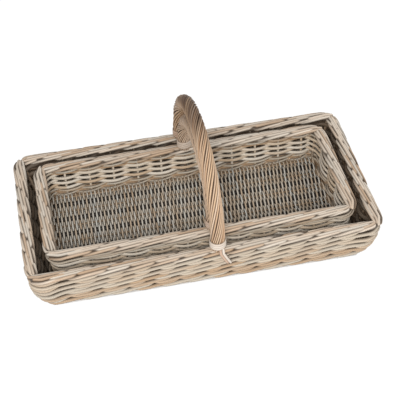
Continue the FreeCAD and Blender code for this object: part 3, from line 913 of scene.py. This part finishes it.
class Nodes:
    """A short way to lay out a material's nodes."""

    def __init__(self, name):
        self.material = bpy.data.materials.new(name)
        self.material.use_nodes = True
        self.tree = self.material.node_tree
        self.tree.nodes.clear()

    def add(self, kind, inputs=(), **settings):
        node = self.tree.nodes.new(kind)
        for key, value in settings.items():
            setattr(node, key, value)
        for key, value in dict(inputs).items():
            if isinstance(value, bpy.types.NodeSocket):
                self.tree.links.new(value, node.inputs[key])
            else:
                node.inputs[key].default_value = value
        return node

    def attribute(self, name, output):
        return self.add("ShaderNodeAttribute", attribute_name=name).outputs[output]

    def math(self, operation, a, b=0.0):
        return self.add("ShaderNodeMath", {0: a, 1: b}, operation=operation).outputs[0]

    def scaled(self, value, gain, offset, clamp=False):
        inputs = {0: value, 1: gain, 2: offset}
        return self.add("ShaderNodeMath", inputs, operation="MULTIPLY_ADD", use_clamp=clamp).outputs[0]

    def mix(self, factor, a, b):
        return self.add("ShaderNodeMix", {0: factor, 6: a, 7: b}, data_type="RGBA").outputs[2]

    def noise(self, place, scale, detail):
        place = self.add("ShaderNodeMapping", {"Vector": place, "Scale": scale}).outputs[0]
        inputs = {"Vector": place, "Scale": 1.0, "Detail": detail}
        return self.add("ShaderNodeTexNoise", inputs).outputs["Fac"]

    def ramp(self, factor, stops):
        node = self.add("ShaderNodeValToRGB", {"Fac": factor})
        elements = node.color_ramp.elements
        while len(elements) < len(stops):
            elements.new(1.0)
        for element, (place, stop) in zip(elements, stops):
            element.position = place
            element.color = stop
        return node.outputs["Color"]


def colour(red, green, blue):
    """A colour given in 8-bit screen values, as linear light."""
    def linear(v):
        v = v / 255
        return v / 12.92 if v <= 0.04045 else ((v + 0.055) / 1.055) ** 2.4
    return (linear(red), linear(green), linear(blue), 1.0)


def willow(name, tones, stain_and_shade, weathered, weathering):
    """Peeled willow: a tone for each rod, streaks along the grain, patches weathered grey,
    and painted shade in the recesses and on the flanks, in the colour of the stain."""
    n = Nodes(name)
    stain_and_shade = colour(*stain_and_shade)
    rod = n.add("ShaderNodeSeparateXYZ", {0: n.attribute("rod", "Vector")}).outputs
    grain = n.attribute("grain", "Vector")
    stops = [(i / (len(tones) - 1), colour(*tone)) for i, tone in enumerate(tones)]
    tone = n.ramp(rod[0], stops)
    streak = n.noise(grain, STREAK_SCALE, STREAK_DETAIL)
    patch = n.noise(grain, PATCH_SCALE, PATCH_DETAIL)
    clean = n.scaled(streak, STREAK_GAIN, STREAK_OFFSET, clamp=True)
    streaked = n.mix(clean, n.mix(STREAK_STAIN, tone, stain_and_shade), tone)
    grey = n.scaled(n.math("ADD", patch, rod[1]), PATCH_GAIN, PATCH_OFFSET + weathering, clamp=True)
    washed = n.mix(grey, streaked, n.mix(PATCH_GREY, streaked, colour(*weathered)))
    # Painted shade where proud is low: in the recesses, on the inward sides and on the flanks; over the
    # handle's crown it is stain.
    final = n.mix(n.attribute("proud", "Fac"), n.mix(SHADE_AND_STAIN_SHARE, washed, stain_and_shade), washed)
    relief = {"Height": streak, "Strength": STREAK_RELIEF, "Distance": STREAK_HEIGHT}
    bump = n.add("ShaderNodeBump", relief).outputs[0]
    shader = n.add("ShaderNodeBsdfPrincipled", {
        "Base Color": final, "Roughness": n.scaled(streak, ROUGH_GAIN, ROUGH_OFFSET),
        "Normal": bump, "Specular IOR Level": SHEEN})
    n.add("ShaderNodeOutputMaterial", {"Surface": shader.outputs[0]})
    return n.material


def willow_looks():
    """All the willow in the two trugs, by the part that it is for."""
    return {
        "wall": willow("wall_willow", WALL_TONES, DARK_STAIN_AND_SHADE, (196, 188, 174), 0.0),
        "side": willow("side_willow", SIDE_TONES, DARK_STAIN_AND_SHADE, (222, 214, 202), 0.0),
        "border": willow("border_willow", BORDER_TONES, DARK_STAIN_AND_SHADE, (204, 196, 184), 0.0),
        "base": willow("base_willow", BASE_TONES, BASE_STAIN_AND_SHADE, (190, 190, 184), 0.2),
        "bark": willow("bark_willow", BARK_AND_SHADE_TONES, BARK_STAIN_AND_SHADE, (60, 52, 44), 0.0),
        "handle": willow("handle_willow", HANDLE_TONES, HANDLE_STAIN_AND_SHADE, (206, 182, 156), -0.3),
        "cane": willow("pale_cane", CANE_TONES, CANE_STAIN_AND_SHADE, (214, 206, 196), 0.2),
    }


def studio_floor(shaded):
    """Pale floor that the camera sees as white, with the object's shadow kept faint.
    Under the base, within the half sizes in shaded, it is left as dark as the light there makes it."""
    n = Nodes("studio_floor")
    light = n.add("ShaderNodeLightPath").outputs
    seen = n.math("MAXIMUM", n.math("MAXIMUM", light["Is Camera Ray"], light["Is Glossy Ray"]),
                  light["Is Transmission Ray"])
    place = n.add("ShaderNodeSeparateXYZ", {0: n.add("ShaderNodeNewGeometry").outputs["Position"]})
    away = [n.math("ABSOLUTE", place.outputs[i]) for i in (0, 1)]
    outside = [n.math("GREATER_THAN", away[i], shaded[i]) for i in (0, 1)]
    past_corner = n.math("GREATER_THAN", n.math("ADD", *away), shaded[0] + shaded[1] - CORNER_CUT)
    bright = n.math("MULTIPLY", seen, n.math("MAXIMUM", n.math("MAXIMUM", *outside), past_corner))
    matt = n.add("ShaderNodeBsdfDiffuse", {"Color": (FLOOR_GREY, FLOOR_GREY, FLOOR_GREY, 1)})
    white = n.add("ShaderNodeEmission", {"Color": (1, 1, 1, 1), "Strength": FLOOR_GLOW})
    share = n.math("MULTIPLY", bright, FLOOR_WHITENING)
    mixed = n.add("ShaderNodeMixShader", {0: share, 1: matt.outputs[0], 2: white.outputs[0]})
    n.add("ShaderNodeOutputMaterial", {"Surface": mixed.outputs[0]})
    return n.material


# Scene

def add_object(name, data):
    made = bpy.data.objects.new(name, data)
    bpy.context.scene.collection.objects.link(made)
    return made


def add_piece(trug, name, rods, material, nodes):
    mesh = rods.mesh(trug.name + "_" + name)
    mesh.materials.append(material)
    piece = add_object(mesh.name, mesh)
    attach(piece, trug.body)
    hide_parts(*trug.node(*nodes))


def add_walls(trug, looks):
    """Waling at foot and rim, and between them either more waling or plain side weaving."""
    style = trug.style
    row = WALE_ROW * style.wale
    foot_top = trug.wall_bottom + row * 2
    rim_bottom = trug.border_bottom - row
    foot = waling(trug, trug.seed + 2, trug.wall_bottom, foot_top, style.foot_tones)
    add_edge_rods(foot, trug)
    add_piece(trug, "foot_waling", foot, looks["wall"], ["upsett"])
    if style.waled:
        wall = waling(trug, trug.seed + 1, foot_top, rim_bottom, style.wall_tones)
    else:
        wall = randed_wall(trug, foot_top, rim_bottom)
    add_piece(trug, "woven_wall", wall, looks[style.wall_look],
              ["front_weave", "right_weave", "back_weave", "left_weave", "corner_weave"])
    rim = waling(trug, trug.seed + 3, rim_bottom, trug.border_bottom + RIM_TUCK, style.wall_tones)
    add_piece(trug, "rim_waling", rim, looks["wall"], ["top_wale"])


def add_trug(trug, looks):
    add_walls(trug, looks)
    pieces = [
        ("rolled_border", border, "border", "border_willow",
         ["border_outer", "border_inner", "border_top"]),
        ("stakes", side_stakes, trug.style.wall_look, "wall_willow", ["side_stakes"]),
        ("posts", corner_posts, "wall", "wall_willow", ["corner_posts"]),
        ("roped_foot", foot_ring, "base", "base_willow", ["foot_ring"]),
        ("sticks", base_sticks, "bark", "base_willow", ["base_sticks"]),
        ("woven_base", woven_base, "base", "base_willow", ["base_weave"]),
        ("roped_handle", handle_strands, "handle", "handle_willow", ["handle_strands"]),
        ("bow", handle_bow, "handle", "handle_willow", ["handle_bow"]),
    ]
    for name, make, look, slot, nodes in pieces:
        add_piece(trug, name, make(trug), looks[look], nodes)
    for i, side in enumerate(("front", "back")):
        wound = collar(f"{trug.name}_{side}_collar", trug.seed + 12 + i)
        add_piece(trug, side + "_binding", wound, looks["cane"], [side + "_collar"])
    add_piece(trug, "binding_tails", collar_tails(trug), looks["cane"], ["collar_tails"])


def add_camera():
    pitch, yaw, roll = (math.radians(a) for a in (CAMERA_PITCH, CAMERA_YAW, CAMERA_ROLL))
    back = Vector((math.sin(yaw) * math.cos(pitch), -math.cos(yaw) * math.cos(pitch), math.sin(pitch)))
    camera = add_object("camera", bpy.data.cameras.new("camera"))
    camera.data.sensor_width = SENSOR_WIDTH
    camera.data.lens = FOCAL_PIXELS / IMAGE_WIDTH * SENSOR_WIDTH
    camera.location = Vector(CAMERA_TARGET) + back * CAMERA_DISTANCE
    turn = (-back).to_track_quat("-Z", "Y").to_matrix() @ Matrix.Rotation(roll, 3, "Z")
    camera.rotation_euler = turn.to_euler()
    bpy.context.scene.camera = camera


def add_lamp(name, place, size, power, tint):
    """A round lamp that faces the middle of the scene."""
    lamp = bpy.data.lights.new(name, "AREA")
    lamp.shape = "DISK"
    lamp.size = size
    lamp.energy = power
    lamp.color = tint
    holder = add_object(name, lamp)
    holder.location = place
    holder.rotation_euler = (-Vector(place)).to_track_quat("-Z", "Y").to_euler()


def add_studio():
    world = bpy.data.worlds.new("studio")
    world.use_nodes = True
    background = world.node_tree.nodes["Background"]
    background.inputs["Color"].default_value = (1.0, 1.0, 1.0, 1.0)
    background.inputs["Strength"].default_value = SKY
    bpy.context.scene.world = world
    add_lamp("key", **KEY_LAMP)
    add_lamp("fill", **FILL_LAMP)
    mesh = bpy.data.meshes.new("floor")
    corners = [(x * FLOOR_HALF, y * FLOOR_HALF, 0) for x, y in ((-1, -1), (1, -1), (1, 1), (-1, 1))]
    mesh.from_pydata(corners, [], [(0, 1, 2, 3)])
    mesh.materials.append(studio_floor(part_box("large_foot_ring")[1]))
    floor = add_object("floor", mesh)


def main():
    looks = willow_looks()
    add_trug(Trug(LARGE), looks)
    add_trug(Trug(SMALL), looks)
    add_studio()
    add_camera()
    bpy.context.scene.view_settings.view_transform = "Standard"


main()
